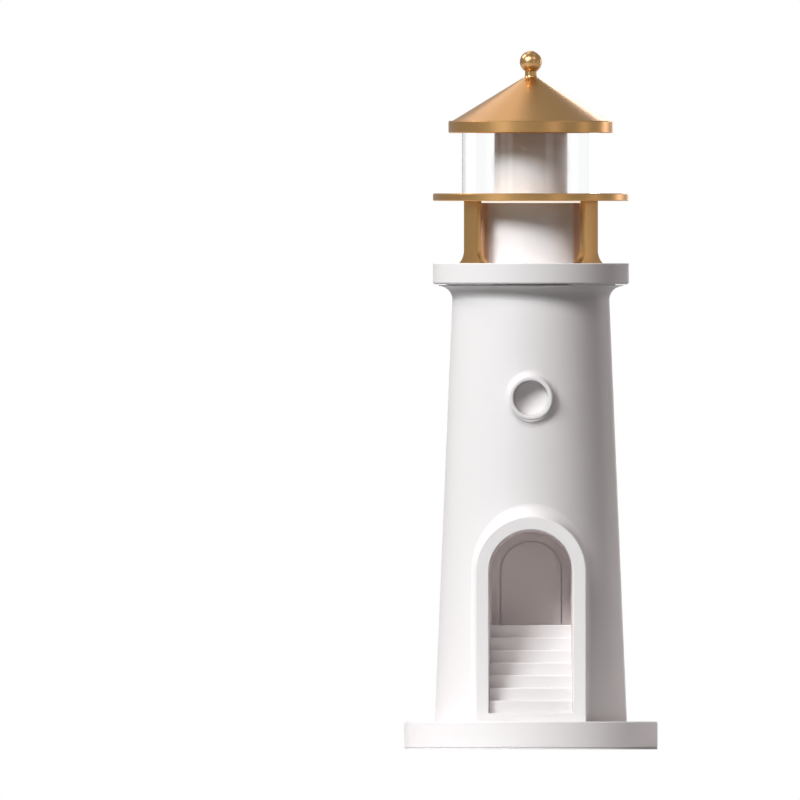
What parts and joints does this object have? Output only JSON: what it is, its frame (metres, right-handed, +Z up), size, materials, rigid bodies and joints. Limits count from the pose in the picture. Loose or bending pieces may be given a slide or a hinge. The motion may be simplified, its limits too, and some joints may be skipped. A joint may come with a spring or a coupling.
{
  "type": "lighthouse projection lamp",
  "caption": "Free-standing lighthouse lamp: white tapering tower with an arched stair niche, gallery on brass brackets, glass lantern with a projector column and a brass cone roof.",
  "frame": {"origin": "centre of the foot ring's underside, on the tower's axis", "axes": "+Z up along the tower, +X to the right of the door as the viewer sees it, the door faces -Y"},
  "size_m": [0.09, 0.09, 0.2481],
  "materials": {
    "white_shell": "fine matte white",
    "satin_brass": "satin, finely brushed",
    "polished_brass": "polished",
    "steel": "plain steel",
    "heat_sink_aluminium": "bare aluminium",
    "foot_rubber": "matte rubber",
    "seal_rubber": "clear silicone",
    "circuit_board": "green board with plain chips",
    "black_plastic": "fine matte black",
    "bush_plastic": "natural acetal",
    "frosted_panel": "frosted white diffuser",
    "light_ring": "frosted diffuser that shows a thin line of light",
    "battery_wrap": "shrink sleeve, plain",
    "lantern_glass": "clear",
    "lens_glass": "clear",
    "slide_film": "plain tinted film"
  },
  "bodies": {
    "tower": {"foot_ring": "foot_rubber", "base_cover": "white_shell", "cover_screws": "steel", "base_shell": "white_shell", "ballast_plate": "steel", "main_board": "circuit_board", "usb_socket": "steel", "tower_shell": "white_shell", "tower_screws": "steel", "door_frame": "white_shell", "niche_liner": "white_shell", "niche_back_wall": "white_shell", "staircase": "white_shell", "arched_diffuser": "frosted_panel", "stair_light_board": "circuit_board", "board_screws": "steel", "porthole_ring": "white_shell", "porthole_dish": "frosted_panel", "porthole_light_board": "circuit_board", "button_bezel": "satin_brass", "tact_switch": "black_plastic", "switch_board": "circuit_board", "battery_cell": "battery_wrap", "battery_cradle": "black_plastic", "swivel_plate": "steel", "plate_screws": "steel", "swivel_bush": "bush_plastic"},
    "head": {"swivel_hub": "steel", "stop_collar": "steel", "collar_screw": "steel", "gallery_deck": "white_shell", "head_screws": "steel", "head_drum": "white_shell", "driver_board": "circuit_board", "glow_ring": "light_ring", "bracket_front_right": "satin_brass", "bracket_rear_right": "satin_brass", "bracket_rear_left": "satin_brass", "bracket_front_left": "satin_brass", "bracket_screws": "steel", "gallery_ring": "satin_brass", "lower_glass_seal": "seal_rubber", "lantern_glass": "lantern_glass", "upper_glass_seal": "seal_rubber", "projector_column": "white_shell", "column_cap": "white_shell", "optics_cradle": "black_plastic", "lens_barrel": "black_plastic", "condenser_lens": "lens_glass", "projection_lens": "lens_glass", "picture_slide": "slide_film", "projector_board": "circuit_board", "heat_sink": "heat_sink_aluminium", "roof_plate": "satin_brass", "roof_cap": "satin_brass", "tie_rod": "steel", "finial_ball": "polished_brass"},
    "button": {"power_button": "white_shell"}
  },
  "joints": [
    {"name": "head_swivel", "type": "hinge", "parent": "tower", "child": "head", "pos_m": [0, 0, 0.1652], "axis": [0, 0, 1], "range_deg": [-165, 165]},
    {"name": "power_button_press", "type": "slide", "parent": "tower", "child": "button", "axis": [0, -1, 0], "range_m": [0, 0.0008], "stiffness_N_per_m": 800, "springref_m": -0.001}
  ]
}
